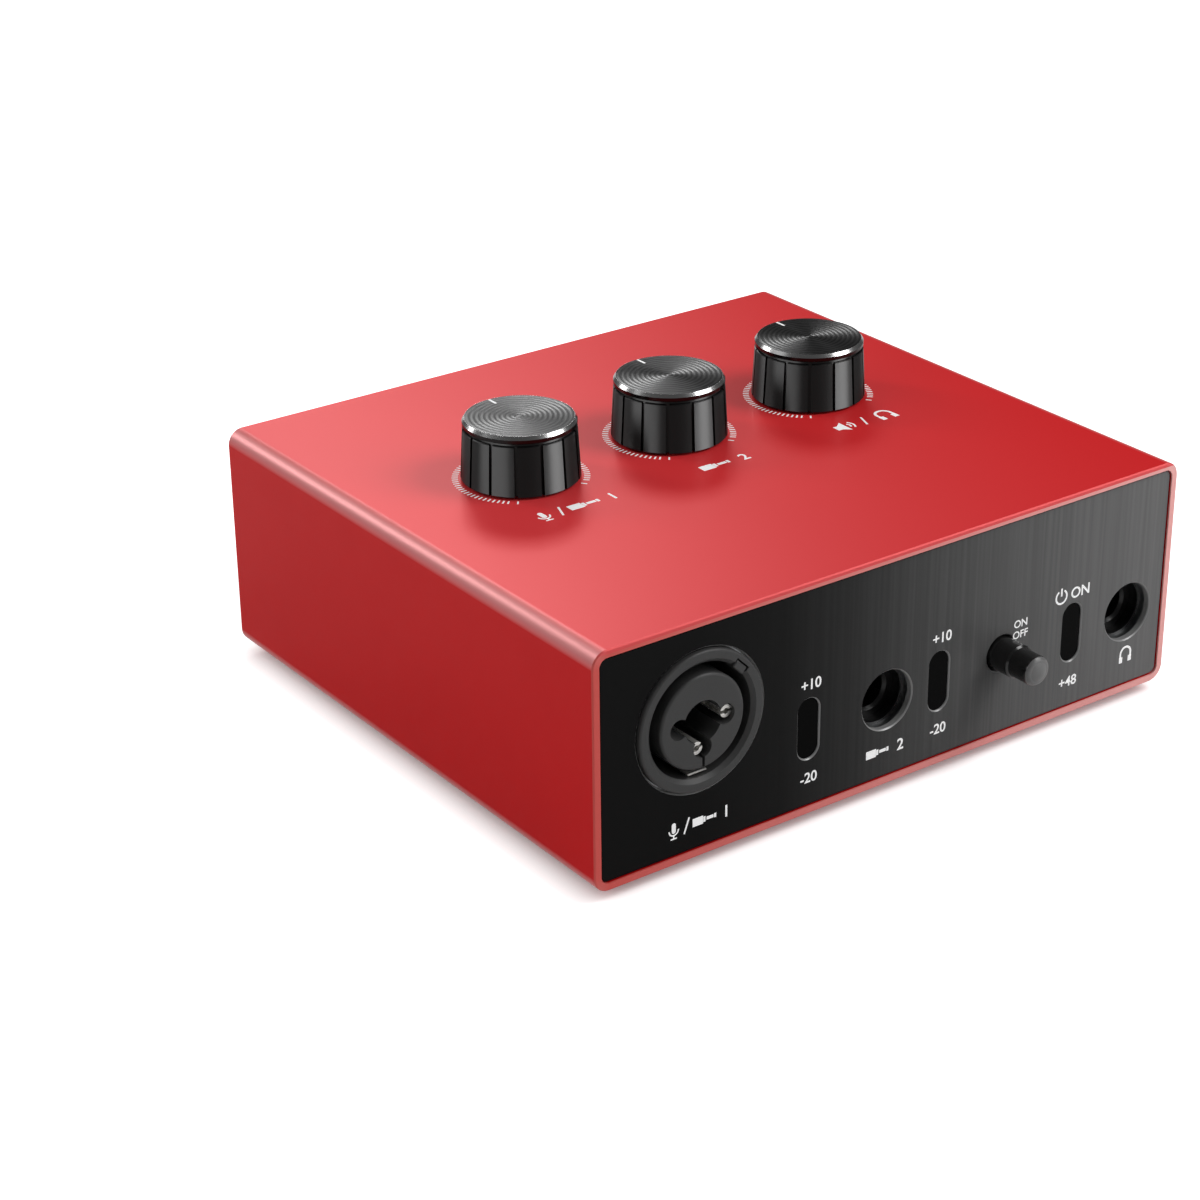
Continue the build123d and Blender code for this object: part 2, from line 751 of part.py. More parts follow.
for place, x in enumerate(knob_xs, start=1):
    with BuildPart() as pot:
        with BuildSketch(Plane.XY.offset(control_top)):
            with Locations((x, knob_y)):
                RectangleRounded(pot_width, pot_depth, 0.8)
        extrude(amount=pot_body_top - control_top)
        with BuildSketch(Plane.XY.offset(pot_body_top)):
            with Locations((x, knob_y)):
                Circle(bushing_radius)
        extrude(amount=bushing_top - pot_body_top)
        chamfer(faces().sort_by(Axis.Z)[-1].edges(), length=0.3)
        with Locations((x, knob_y, bushing_top)):
            Hole(shaft_radius + shaft_clearance, depth=bushing_top - control_top - 1.2)
    finish(pot, f"potentiometer_{place}")

    with BuildPart() as shaft:
        with BuildSketch(Plane.XY.offset(shaft_foot)):
            with Locations((x, knob_y)):
                Circle(shaft_radius)
        extrude(amount=shaft_top - shaft_foot)
        chamfer(faces().sort_by(Axis.Z)[-1].edges(), length=0.4)
        with BuildSketch(Plane.XY.offset(hub_bottom)):
            with Locations((x, knob_y - flat_offset - shaft_radius / 2)):
                Rectangle(2 * shaft_radius, shaft_radius)
        extrude(amount=shaft_top - hub_bottom, mode=Mode.SUBTRACT)
    finish(shaft, f"shaft_{place}")

with BuildPart() as pot_washers:
    with BuildSketch(Plane.XY.offset(top_z)):
        with Locations(*[(x, knob_y) for x in knob_xs]):
            Circle(washer_radius)
            Circle(bushing_radius + 0.05, mode=Mode.SUBTRACT)
    extrude(amount=washer_thickness)
finish(pot_washers, "pot_washers")

with BuildPart() as pot_nuts:
    with BuildSketch(Plane.XY.offset(top_z + washer_thickness)):
        with Locations(*[(x, knob_y) for x in knob_xs]):
            RegularPolygon(pot_nut_flats / 2, 6, major_radius=False)
            Circle(bushing_radius + 0.05, mode=Mode.SUBTRACT)
    extrude(amount=pot_nut_thickness)
finish(pot_nuts, "pot_nuts")

# ---------------------------------------------------------------- knobs
# The body is a hollow moulding: a slightly tapered grip with narrow upright grooves, a skirt that
# hides the nut, and a hub with a D-shaped bore. The turned cap lies on a narrower neck.
knob_gap = 0.35
cap_thickness = 1.25
grip_top = knob_height - 1.75
neck_radius = 9.15
skirt_inner = 7.8
skirt_roof = 6.2
hub_radius = 4.6
cap_bevel_in = 0.42
cap_bevel_down = 0.58
groove_width = 0.55
groove_cut = 0.42
pointer_inner = 6.9
pointer_width = 0.5
pointer_depth = 0.2

for place, x in enumerate(knob_xs, start=1):
    knob_axis = Axis((x, knob_y, 0), (0, 0, 1))
    hub_z = hub_bottom - top_z
    neck_z = knob_height - cap_thickness
    with BuildPart() as knob:
        with BuildSketch(upright_plane(x, knob_y, top_z)):
            with BuildLine():
                Polyline(
                    (0, hub_z),
                    (hub_radius, hub_z),
                    (hub_radius, skirt_roof),
                    (skirt_inner, skirt_roof),
                    (skirt_inner, knob_gap),
                    (knob_base_radius - 0.15, knob_gap),
                    (knob_base_radius, knob_gap + 0.15),
                    (knob_radius, grip_top - 0.15),
                    (knob_radius - 0.15, grip_top),
                    (neck_radius, grip_top),
                    (neck_radius, neck_z),
                    (0, neck_z),
                    close=True,
                )
            make_face()
        revolve(axis=knob_axis)
        # D-shaped bore for the shaft
        with BuildSketch(Plane.XY.offset(hub_bottom)):
            with Locations((x, knob_y)):
                Circle(shaft_radius + 0.02)
            with Locations((x, knob_y - flat_offset - 0.02 - shaft_radius)):
                Rectangle(4 * shaft_radius, 2 * shaft_radius, mode=Mode.SUBTRACT)
        extrude(amount=shaft_top + 0.05 - hub_bottom, mode=Mode.SUBTRACT)
        # upright grooves, half a step to each side of the pointer
        groove_step = 360 / knob_grooves
        with BuildSketch(Plane.XY.offset(top_z + knob_gap)):
            with Locations((x, knob_y)):
                with PolarLocations(knob_radius - groove_cut, knob_grooves, start_angle=90 + groove_step / 2):
                    with Locations((0.6, 0)):
                        Rectangle(1.2, groove_width)
        extrude(amount=grip_top - knob_gap, mode=Mode.SUBTRACT)
    finish(knob, f"knob_{place}")

    with BuildPart() as knob_cap:
        with BuildSketch(upright_plane(x, knob_y, top_z)):
            with BuildLine():
                Polyline(
                    (0, neck_z),
                    (knob_radius - 0.1, neck_z),
                    (knob_radius, neck_z + 0.1),
                    (knob_radius, knob_height - cap_bevel_down),
                    (knob_radius - cap_bevel_in, knob_height),
                    (0, knob_height),
                    close=True,
                )
            make_face()
        revolve(axis=knob_axis)
        with BuildSketch(Plane.XY.offset(top_z + knob_height)):
            with Locations((x, knob_y + (pointer_inner + knob_radius) / 2 + 0.25)):
                Rectangle(pointer_width, knob_radius - pointer_inner + 0.5)
        extrude(amount=-pointer_depth, mode=Mode.SUBTRACT)
    finish(knob_cap, f"knob_cap_{place}")

# ---------------------------------------------------------------- ribbon cable and its headers
# The ribbon links the two boards: out of a header on the main board, back along, and up.
ribbon_width = 14.0
ribbon_thickness = 0.8
ribbon_x = -30.0
header_height = 5.5
lower_header_y = 26.0
upper_header_y = 14.0
header_depth = 5.0
lower_header_top = board_top + header_height
upper_header_bottom = control_board_z - header_height
ribbon_z = (lower_header_top + upper_header_bottom) / 2

with BuildPart() as ribbon_cable:
    with BuildSketch(Plane.YZ.offset(ribbon_x - ribbon_width / 2)):
        with BuildLine():
            FilletPolyline(
                (lower_header_y, lower_header_top),
                (lower_header_y, ribbon_z),
                (upper_header_y, ribbon_z),
                (upper_header_y, upper_header_bottom),
                radius=3.0,
            )
        trace(line_width=ribbon_thickness)
    extrude(amount=ribbon_width)
finish(ribbon_cable, "ribbon_cable")

for header_name, y, low in (
    ("main_header", lower_header_y, board_top),
    ("control_header", upper_header_y, upper_header_bottom),
):
    with BuildPart() as header:
        with BuildSketch(Plane.XY.offset(low)):
            with Locations((ribbon_x, y)):
                RectangleRounded(ribbon_width + 3, header_depth, 0.5)
        extrude(amount=header_height)
    finish(header, header_name)

# ---------------------------------------------------------------- chips and capacitors
chip_height = 1.4
for chip_name, x, y, size in (("codec_chip", -10.0, 0.0, 10.0), ("usb_chip", -45.0, 27.0, 9.0)):
    with BuildPart() as chip:
        with BuildSketch(Plane.XY.offset(board_top)):
            with Locations((x, y)):
                Rectangle(size, size)
        extrude(amount=chip_height, taper=6)
    finish(chip, chip_name)

capacitor_radius = 3.15
capacitor_height = 8.0
with BuildPart() as capacitors:
    with BuildSketch(Plane.XY.offset(board_top)):
        with Locations((15, -4)):
            with GridLocations(10, 9, 3, 2):
                Circle(capacitor_radius)
    extrude(amount=capacitor_height)
    fillet(faces().filter_by(Axis.Z).group_by(Axis.Z)[-1].edges(), radius=0.5)
finish(capacitors, "filter_capacitors")
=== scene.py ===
"""The looks of a desktop audio interface: an anodised sleeve, a black fascia, knobs and sockets."""

from math import cos, pi, radians, sin

import bmesh
import bpy
from mathutils import Matrix, Vector


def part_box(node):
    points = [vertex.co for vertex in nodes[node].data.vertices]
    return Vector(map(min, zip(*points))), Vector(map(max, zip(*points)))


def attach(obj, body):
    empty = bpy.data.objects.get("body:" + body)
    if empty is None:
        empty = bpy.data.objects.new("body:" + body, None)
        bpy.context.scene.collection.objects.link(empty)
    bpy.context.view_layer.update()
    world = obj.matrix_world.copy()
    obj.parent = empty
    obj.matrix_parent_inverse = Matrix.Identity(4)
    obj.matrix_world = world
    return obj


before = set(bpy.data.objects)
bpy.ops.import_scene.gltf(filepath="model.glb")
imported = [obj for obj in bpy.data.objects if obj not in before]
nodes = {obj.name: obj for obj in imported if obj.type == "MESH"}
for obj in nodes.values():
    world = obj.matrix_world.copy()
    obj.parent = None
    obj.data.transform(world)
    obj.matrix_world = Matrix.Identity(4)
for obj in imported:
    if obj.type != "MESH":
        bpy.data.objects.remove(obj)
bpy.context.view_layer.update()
mm = 0.001

# ---- Camera
# A long lens, half a metre away, looks down on the front left corner.
azimuth = radians(-35.544)
elevation = radians(25.582)
roll = radians(-0.647)
camera_place = Vector((-276.76, -358.95, 230.47)) * mm

camera_data = bpy.data.cameras.new("camera")
camera_data.lens = 85.55
camera_data.sensor_width = 36.0
camera = bpy.data.objects.new("camera", camera_data)
bpy.context.scene.collection.objects.link(camera)
level_distance = cos(elevation)
backward = Vector((sin(azimuth) * level_distance, -cos(azimuth) * level_distance, sin(elevation)))
level = Vector((cos(azimuth), sin(azimuth), 0))
upright = backward.cross(level)
across = cos(roll) * level + sin(roll) * upright
upward = cos(roll) * upright - sin(roll) * level
camera_turn = Matrix((across, upward, backward)).transposed().to_4x4()
camera.matrix_world = Matrix.Translation(camera_place) @ camera_turn
bpy.context.scene.camera = camera
bpy.context.scene.view_settings.view_transform = "Standard"


# ---- Floor
# A white sheet that the object stands on. It runs on far past the view, so that no edge shows.
def linear(hex_colour):
    """An sRGB hex colour as the linear red, green, blue and alpha that shaders use."""
    channels = [int(hex_colour[i:i + 2], 16) / 255 for i in (0, 2, 4)]
    return [c / 12.92 if c <= 0.04045 else ((c + 0.055) / 1.055) ** 2.4 for c in channels] + [1.0]


def add(material, kind, inputs, **settings):
    """Adds a node. Settings are its options; inputs are sockets' values, or what feeds them."""
    node = material.node_tree.nodes.new(kind)
    for name, value in settings.items():
        setattr(node, name, value)
    for name, value in inputs.items():
        if isinstance(value, bpy.types.NodeSocket):
            material.node_tree.links.new(value, node.inputs[name])
        else:
            node.inputs[name].default_value = value
    return node


def link_mesh(name, bm):
    """Makes an object of a finished bmesh."""
    mesh = bpy.data.meshes.new(name)
    bm.to_mesh(mesh)
    bm.free()
    piece = bpy.data.objects.new(name, mesh)
    bpy.context.scene.collection.objects.link(piece)
    return piece


floor_half = 4.0
floor_mesh = bmesh.new()
bmesh.ops.create_grid(floor_mesh, x_segments=1, y_segments=1, size=floor_half)
floor = link_mesh("floor", floor_mesh)

# Matt paper. The eye sees it as a white page, whose shadow is deep only close under the edges.
paper = bpy.data.materials.new("matt_white_paper")
paper.use_nodes = True
paper_shader = paper.node_tree.nodes["Principled BSDF"]
paper_shader.inputs["Base Color"].default_value = linear("E6E6E6")
paper_shader.inputs["Roughness"].default_value = 0.9
paper_shader.inputs["Specular IOR Level"].default_value = 0.1
page_white = 0.93
page_mirrored = 0.1
contact_reach = 5 * mm
ray = add(paper, "ShaderNodeLightPath", {})
open_sky = add(paper, "ShaderNodeAmbientOcclusion", {"Distance": contact_reach}, samples=16)
seen = add(paper, "ShaderNodeMath", {
    0: ray.outputs["Is Camera Ray"], 1: page_white}, operation="MULTIPLY")
near = add(paper, "ShaderNodeMath", {
    0: seen.outputs[0], 1: open_sky.outputs["AO"]}, operation="MULTIPLY")
mirrored = add(paper, "ShaderNodeMath", {
    0: ray.outputs["Is Glossy Ray"], 1: ray.outputs["Is Transmission Ray"]}, operation="MAXIMUM")
page = add(paper, "ShaderNodeMath", {
    0: mirrored.outputs[0], 1: page_mirrored, 2: near.outputs[0]}, operation="MULTIPLY_ADD")
glow = add(paper, "ShaderNodeEmission", {"Color": linear("FFFFFF"), "Strength": page.outputs[0]})
paper_sum = add(paper, "ShaderNodeAddShader", {0: paper_shader.outputs[0], 1: glow.outputs[0]})
paper_end = paper.node_tree.nodes["Material Output"]
paper.node_tree.links.new(paper_sum.outputs[0], paper_end.inputs["Surface"])
floor.data.materials.append(paper)

# ---- Studio lights
# Soft boxes round the object. A wide one lights the left side, those behind lay a sheen on the
# top and along its left edge, those on the right light the front, and a weak one hangs overhead.
world = bpy.data.worlds.new("studio")
bpy.context.scene.world = world
world.use_nodes = True
background = world.node_tree.nodes["Background"]
background.inputs["Color"].default_value = linear("FFFFFF")
background.inputs["Strength"].default_value = 0.08

aim = Vector((0, 0, 25)) * mm


def soft_box(name, place, width, height, radiance):
    """A rectangular lamp that faces the object, in metres. Radiance 1 shows white in a mirror."""
    lamp = bpy.data.lights.new(name, "AREA")
    lamp.shape = "RECTANGLE"
    lamp.size = width
    lamp.size_y = height
    lamp.energy = radiance * pi * width * height
    box = bpy.data.objects.new(name, lamp)
    bpy.context.scene.collection.objects.link(box)
    facing = (Vector(place) - aim).to_track_quat("Z", "Y").to_matrix().to_4x4()
    box.matrix_world = Matrix.Translation(place) @ facing
    box.visible_camera = False


soft_box("left_box", (-0.50, -0.02, 0.26), 0.55, 0.18, 1.5)
soft_box("back_left_box", (-0.30, 0.515, 0.363), 0.12, 0.25, 8.2)
soft_box("rear_left_box", (0.20, 0.60, 0.34), 0.15, 0.30, 2.5)
soft_box("rear_box", (0.30, 0.60, 0.48), 0.15, 0.15, 9.5)
soft_box("rear_right_box", (0.40, 0.60, 0.48), 0.15, 0.15, 4.0)
soft_box("right_high_box", (0.32, -0.27, 0.456), 0.30, 0.30, 6.0)
soft_box("right_box", (0.333, -0.475, 0.20), 0.30, 0.30, 2.6)
soft_box("overhead_box", (-0.10, 0.10, 0.26), 0.20, 0.20, 0.6)


# ---- Sleeve
# One aluminium extrusion, blasted to a fine satin and dyed red by anodising, open at both ends.
# Its grain is drawn coarser than it is, so that it shows.
def wear(material, *names):
    """Puts a material on CAD nodes."""
    for name in names:
        for place in nodes[name].material_slots:
            place.material = material


def finish_of(name, surface):
    """A material on one Principled shader. Returns both, and the Object coordinates."""
    material = bpy.data.materials.new(name)
    material.use_nodes = True
    shader = material.node_tree.nodes["Principled BSDF"]
    for socket, value in surface.items():
        shader.inputs[socket].default_value = value
    place = add(material, "ShaderNodeTexCoord", {}).outputs["Object"]
    return material, shader, place


def feed(shader, sources):
    """Links outputs to a shader's sockets."""
    for name, output in sources.items():
        shader.id_data.links.new(output, shader.inputs[name])


def grain(material, shader, place, size, depth, roughness):
    """Fine grain of a size and depth in metres, which moves the roughness between two values."""
    fine = add(material, "ShaderNodeTexNoise", {"Vector": place, "Scale": 1 / size, "Detail": 2.0})
    dull = add(material, "ShaderNodeMapRange", {
        "Value": fine.outputs["Fac"], "To Min": roughness[0], "To Max": roughness[1]})
    bump = add(material, "ShaderNodeBump", {
        "Height": fine.outputs["Fac"], "Distance": depth, "Strength": 1.0})
    feed(shader, {"Roughness": dull.outputs["Result"], "Normal": bump.outputs["Normal"]})


def dapple(material, shader, place, size, colours):
    """Broad, soft patches, which move the colour between two. Each is as wide as many grains."""
    patch_over_grain = 40
    broad = add(material, "ShaderNodeTexNoise", {
        "Vector": place, "Scale": 1 / (patch_over_grain * size), "Detail": 3.0})
    tone = add(material, "ShaderNodeMix", {
        0: broad.outputs["Fac"], 6: linear(colours[0]), 7: linear(colours[1])}, data_type="RGBA")
    feed(shader, {"Base Color": tone.outputs[2]})


def surface_of(name, values, size, depth, colours, roughness):
    """A whole finish: plain values, and grain with dapples of colour."""
    material, shader, place = finish_of(name, values)
    grain(material, shader, place, size, depth, roughness)
    dapple(material, shader, place, size, colours)
    return material


red_anodised, shader, place = finish_of("red_anodised_aluminium", {})
grain(red_anodised, shader, place, size=0.35 * mm, depth=0.002 * mm, roughness=(0.36, 0.42))
dapple(red_anodised, shader, place, size=0.35 * mm, colours=("E01419", "E6191D"))
blasted_red = shader.inputs["Base Color"].links[0].from_socket
blasted_dull = shader.inputs["Roughness"].links[0].from_socket
sleeve_low, sleeve_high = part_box("sleeve")
sleeve_middle = (sleeve_low + sleeve_high) / 2
sleeve_half = (sleeve_high - sleeve_low) / 2
from_middle = add(red_anodised, "ShaderNodeVectorMath", {
    0: place, 1: sleeve_middle}, operation="SUBTRACT")
off_middle = add(red_anodised, "ShaderNodeSeparateXYZ", {0: from_middle.outputs[0]})
reach = add(red_anodised, "ShaderNodeVectorMath", {
    0: from_middle.outputs[0]}, operation="ABSOLUTE")
reaches = add(red_anodised, "ShaderNodeSeparateXYZ", {0: reach.outputs[0]})

# The round of the long edges is smoother than the blasted faces, and painted pale pink as a painted
# highlight.
edge_round = 2.8 * mm
polish_full = 0.5 * edge_round
edge_roughness = 0.38
near_side = add(red_anodised, "ShaderNodeMapRange", {
    "Value": reaches.outputs["X"],
    "From Min": sleeve_half.x - edge_round,
    "From Max": sleeve_half.x - polish_full})
near_top = add(red_anodised, "ShaderNodeMapRange", {
    "Value": reaches.outputs["Z"],
    "From Min": sleeve_half.z - edge_round,
    "From Max": sleeve_half.z - polish_full})
on_edge = add(red_anodised, "ShaderNodeMath", {
    0: near_side.outputs[0], 1: near_top.outputs[0]}, operation="MULTIPLY")
sheen = add(red_anodised, "ShaderNodeMapRange", {
    "Value": on_edge.outputs[0], "To Min": 0.12, "To Max": 0.8})
bare = add(red_anodised, "ShaderNodeMapRange", {
    "Value": on_edge.outputs[0], "To Min": 0.1, "To Max": 0.2})
smoother = add(red_anodised, "ShaderNodeMix", {
    0: on_edge.outputs[0], 2: blasted_dull, 3: edge_roughness}, data_type="FLOAT")

# The top is painted lighter than the sides, most of all toward its left end: painted light and
# sheen.
top_fade = 0.4 * mm
rightward = add(red_anodised, "ShaderNodeMapRange", {
    "Value": off_middle.outputs["X"], "From Min": -sleeve_half.x, "From Max": sleeve_half.x})
on_top_face = add(red_anodised, "ShaderNodeMapRange", {
    "Value": off_middle.outputs["Z"],
    "From Min": sleeve_half.z - top_fade,
    "From Max": sleeve_half.z})
top_painted_light = add(red_anodised, "ShaderNodeMix", {
    0: rightward.outputs[0], 6: linear("F0464A"), 7: linear("E22226")}, data_type="RGBA")
painted_top_red = add(red_anodised, "ShaderNodeMix", {
    0: on_top_face.outputs[0], 6: blasted_red, 7: top_painted_light.outputs[2]}, data_type="RGBA")
# Painted highlight: the edge's round is painted pale pink.
edge_painted_highlight_red = add(red_anodised, "ShaderNodeMix", {
    0: on_edge.outputs[0], 6: painted_top_red.outputs[2], 7: linear("FF9C9C")}, data_type="RGBA")

# The cut rims are painted paler than the faces, more so toward the right, as a painted highlight.
# The outer part of the upper rim is painted redder again, in the top's painted light.
rim_cut = 0.25 * mm
upper_rim = 0.7 * mm
on_rim = add(red_anodised, "ShaderNodeMath", {
    0: reaches.outputs["Y"], 1: sleeve_half.y - rim_cut}, operation="GREATER_THAN")
on_upper_rim = add(red_anodised, "ShaderNodeMath", {
    0: off_middle.outputs["Z"], 1: sleeve_half.z - upper_rim}, operation="GREATER_THAN")
rim_painted_highlight = add(red_anodised, "ShaderNodeMix", {
    0: rightward.outputs[0], 6: linear("E8625C"), 7: linear("FFB8B4")}, data_type="RGBA")
rim_tone = add(red_anodised, "ShaderNodeMix", {
    0: on_upper_rim.outputs[0], 6: rim_painted_highlight.outputs[2], 7: linear("F05A5C")}, data_type="RGBA")
sleeve_red = add(red_anodised, "ShaderNodeMix", {
    0: on_rim.outputs[0], 6: edge_painted_highlight_red.outputs[2], 7: rim_tone.outputs[2]}, data_type="RGBA")
feed(shader, {
    "Base Color": sleeve_red.outputs[2],
    "Metallic": bare.outputs[0],
    "Roughness": smoother.outputs[0],
    "Specular IOR Level": sheen.outputs[0]})
wear(red_anodised, "sleeve")

# ---- Feet
# Moulded rubber discs, stuck under the four corners. They take light dully, with no shine.
rubber = surface_of(
    "moulded_rubber", {"Specular IOR Level": 0.3},
    size=0.4 * mm, depth=0.01 * mm, colours=("0E0E0E", "161616"), roughness=(0.7, 0.85))
wear(rubber, "foot_front_left", "foot_front_right", "foot_rear_left", "foot_rear_right")

# ---- Boards and what they carry
# Glass-epoxy boards under black solder mask, with moulded headers, chips and switches.
# A grey ribbon joins the two. The capacitors wear printed sleeves.
laminate = surface_of(
    "solder_mask_on_laminate", {"Coat Weight": 0.3},
    size=0.8 * mm, depth=0.01 * mm, colours=("0C0E0C", "121412"), roughness=(0.35, 0.5))
wear(laminate, "main_board", "control_board")

moulding = surface_of(
    "moulded_black_nylon", {"Specular IOR Level": 0.35},
    size=0.3 * mm, depth=0.006 * mm, colours=("161616", "1C1C1C"), roughness=(0.42, 0.6))
wear(moulding, "main_header", "control_header", "codec_chip", "usb_chip")
wear(moulding, "monitor_switch", "phantom_switch", "usb_insulator")
wear(moulding, "light_holder_1", "light_holder_2", "light_holder_3")

ribbon = surface_of(
    "grey_vinyl_ribbon", {},
    size=0.5 * mm, depth=0.01 * mm, colours=("8C8C88", "9A9A96"), roughness=(0.5, 0.6))
wear(ribbon, "ribbon_cable")

capacitor = surface_of(
    "printed_vinyl_sleeve", {"Coat Weight": 0.2},
    size=0.5 * mm, depth=0.005 * mm, colours=("101418", "181C22"), roughness=(0.3, 0.4))
wear(capacitor, "filter_capacitors")

# ---- Chassis plate and its screws, and the potentiometers
# Zinc-plated steel, passivated clear, with the bluish spangle of barrel plating.
zinc = surface_of(
    "zinc_plated_steel", {"Metallic": 1.0},
    size=0.6 * mm, depth=0.004 * mm, colours=("A9ABAD", "BFC1C2"), roughness=(0.25, 0.4))
wear(zinc, "front_plate", "front_screws", "potentiometer_1", "potentiometer_2", "potentiometer_3")

# ---- Fascia
# A plate under black lacquer, bonded to the chassis plate, its colour painted from black at its
# left to charcoal at its right as a painted reflection. Object X and Z run along and up the plate.
fascia_lacquer, shader, place = finish_of("black_lacquer_painted_reflection", {})
grain(fascia_lacquer, shader, place, size=0.8 * mm, depth=0.0005 * mm, roughness=(0.3, 0.34))
grade_half = 61 * mm
# Where each grey is met, from the left end at 0 to the right end at 1
# Painted reflection: the greys grow lighter toward the right.
greys = (
    (0.03, "030303"), (0.17, "030303"), (0.3, "121212"), (0.42, "303030"),
    (0.53, "4A4A4A"), (0.66, "5C5C5C"), (0.82, "6A6A6A"), (0.98, "727272"))
along_plate = add(fascia_lacquer, "ShaderNodeSeparateXYZ", {0: place})
grade = add(fascia_lacquer, "ShaderNodeMapRange", {
    "Value": along_plate.outputs["X"], "From Min": -grade_half, "From Max": grade_half})
graded = add(fascia_lacquer, "ShaderNodeValToRGB", {"Fac": grade.outputs["Result"]})
steps = graded.color_ramp.elements
for i, (at, grey) in enumerate(greys):
    step = steps[i] if i < len(steps) else steps.new(at)
    step.position = at
    step.color = linear(grey)

# Faint upright brushing shows through the lacquer.
stroke_width = 0.7 * mm
stroke_length = 60 * mm
upright_strokes = add(fascia_lacquer, "ShaderNodeMapping", {
    "Vector": place, "Scale": (1 / stroke_width, 0, 1 / stroke_length)})
strokes = add(fascia_lacquer, "ShaderNodeTexNoise", {
    "Vector": upright_strokes.outputs[0], "Scale": 1.0, "Detail": 3.0})
faint = add(fascia_lacquer, "ShaderNodeMapRange", {
    "Value": strokes.outputs["Fac"],
    "From Min": 0.3, "From Max": 0.7, "To Min": 0.88, "To Max": 1.12})
brushed = add(fascia_lacquer, "ShaderNodeVectorMath", {
    0: graded.outputs["Color"], "Scale": faint.outputs[0]}, operation="SCALE")

# The edges of the openings are cut through the lacquer, and shine. They face sideways, and lie
# inside the plate's own outline.
outline_margin = 1.0 * mm
facing_front = 0.9
fascia_low, fascia_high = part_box("front_fascia")
fascia_half = (fascia_high - fascia_low) / 2
to_centre = add(fascia_lacquer, "ShaderNodeVectorMath", {
    0: place, 1: (fascia_low + fascia_high) / 2}, operation="SUBTRACT")
off_centre = add(fascia_lacquer, "ShaderNodeVectorMath", {
    0: to_centre.outputs[0]}, operation="ABSOLUTE")
off = add(fascia_lacquer, "ShaderNodeSeparateXYZ", {0: off_centre.outputs[0]})
within_x = add(fascia_lacquer, "ShaderNodeMath", {
    0: off.outputs["X"], 1: fascia_half.x - outline_margin}, operation="LESS_THAN")
within_z = add(fascia_lacquer, "ShaderNodeMath", {
    0: off.outputs["Z"], 1: fascia_half.z - outline_margin}, operation="LESS_THAN")
within = add(fascia_lacquer, "ShaderNodeMath", {
    0: within_x.outputs[0], 1: within_z.outputs[0]}, operation="MULTIPLY")
mesh_place = add(fascia_lacquer, "ShaderNodeTexCoord", {})
turned_by = add(fascia_lacquer, "ShaderNodeSeparateXYZ", {0: mesh_place.outputs["Normal"]})
flatness = add(fascia_lacquer, "ShaderNodeMath", {0: turned_by.outputs["Y"]}, operation="ABSOLUTE")
on_cut = add(fascia_lacquer, "ShaderNodeMath", {
    0: flatness.outputs[0], 1: facing_front}, operation="LESS_THAN")
cut_edge = add(fascia_lacquer, "ShaderNodeMath", {
    0: on_cut.outputs[0], 1: within.outputs[0]}, operation="MULTIPLY")
edge_tone = add(fascia_lacquer, "ShaderNodeMix", {
    0: cut_edge.outputs[0], 6: brushed.outputs[0], 7: linear("8C8C8C")}, data_type="RGBA")
edge_shine = add(fascia_lacquer, "ShaderNodeMapRange", {
    "Value": cut_edge.outputs[0], "To Min": 0.1, "To Max": 1.0})
feed(shader, {"Base Color": edge_tone.outputs[2], "Specular IOR Level": edge_shine.outputs[0]})
wear(fascia_lacquer, "front_fascia")

# ---- Windows and the lights behind them
# Smoked acrylic slots, polished and nearly black. Each hides two clear epoxy lights, which are off.
smoked = surface_of(
    "smoked_acrylic", {"Specular IOR Level": 0.04},
    size=1.0 * mm, depth=0.0005 * mm, colours=("030303", "050505"), roughness=(0.1, 0.15))
wear(smoked, "window_lens_1", "window_lens_2", "window_lens_3")

epoxy = surface_of(
    "clear_epoxy", {"Transmission Weight": 0.8},
    size=0.5 * mm, depth=0.001 * mm, colours=("D8D8D0", "E8E8E0"), roughness=(0.1, 0.2))
wear(epoxy, "window_lights")

# ---- Combined socket and jacks
# The socket is glass-filled nylon with a fine spark texture, the jacks a smoother black plastic.
# Their springs are tin-plated or nickel-plated, and the USB contacts have a flash of gold.
socket_nylon = surface_of(
    "glass_filled_nylon", {"Specular IOR Level": 0.4},
    size=0.25 * mm, depth=0.008 * mm, colours=("3A3A3A", "424242"), roughness=(0.4, 0.55))
wear(socket_nylon, "combo_shell", "combo_core", "combo_release_tab")

jack_plastic = surface_of(
    "moulded_black_plastic", {"Specular IOR Level": 0.5},
    size=0.3 * mm, depth=0.004 * mm, colours=("0C0C0C", "121212"), roughness=(0.25, 0.4))
wear(jack_plastic, "instrument_jack", "headphone_jack", "output_jack_left", "output_jack_right")

nickel = surface_of(
    "bright_nickel_plate", {"Metallic": 1.0},
    size=0.5 * mm, depth=0.001 * mm, colours=("C6C2B8", "D2CEC4"), roughness=(0.12, 0.2))
wear(nickel, "instrument_contacts", "headphone_contacts")
wear(nickel, "output_contacts_left", "output_contacts_right", "output_nuts", "usb_shield")
wear(nickel, "shaft_1", "shaft_2", "shaft_3", "pot_washers", "pot_nuts")

tin = surface_of(
    "matt_tin_plate", {"Metallic": 0.8},
    size=0.4 * mm, depth=0.001 * mm, colours=("F0EEE8", "F8F6F2"), roughness=(0.3, 0.38))
wear(tin, "combo_contacts", "combo_ground_spring")

gold = surface_of(
    "gold_flash", {"Metallic": 1.0},
    size=0.5 * mm, depth=0.001 * mm, colours=("D9B45A", "E3C06A"), roughness=(0.2, 0.3))
wear(gold, "usb_contacts")
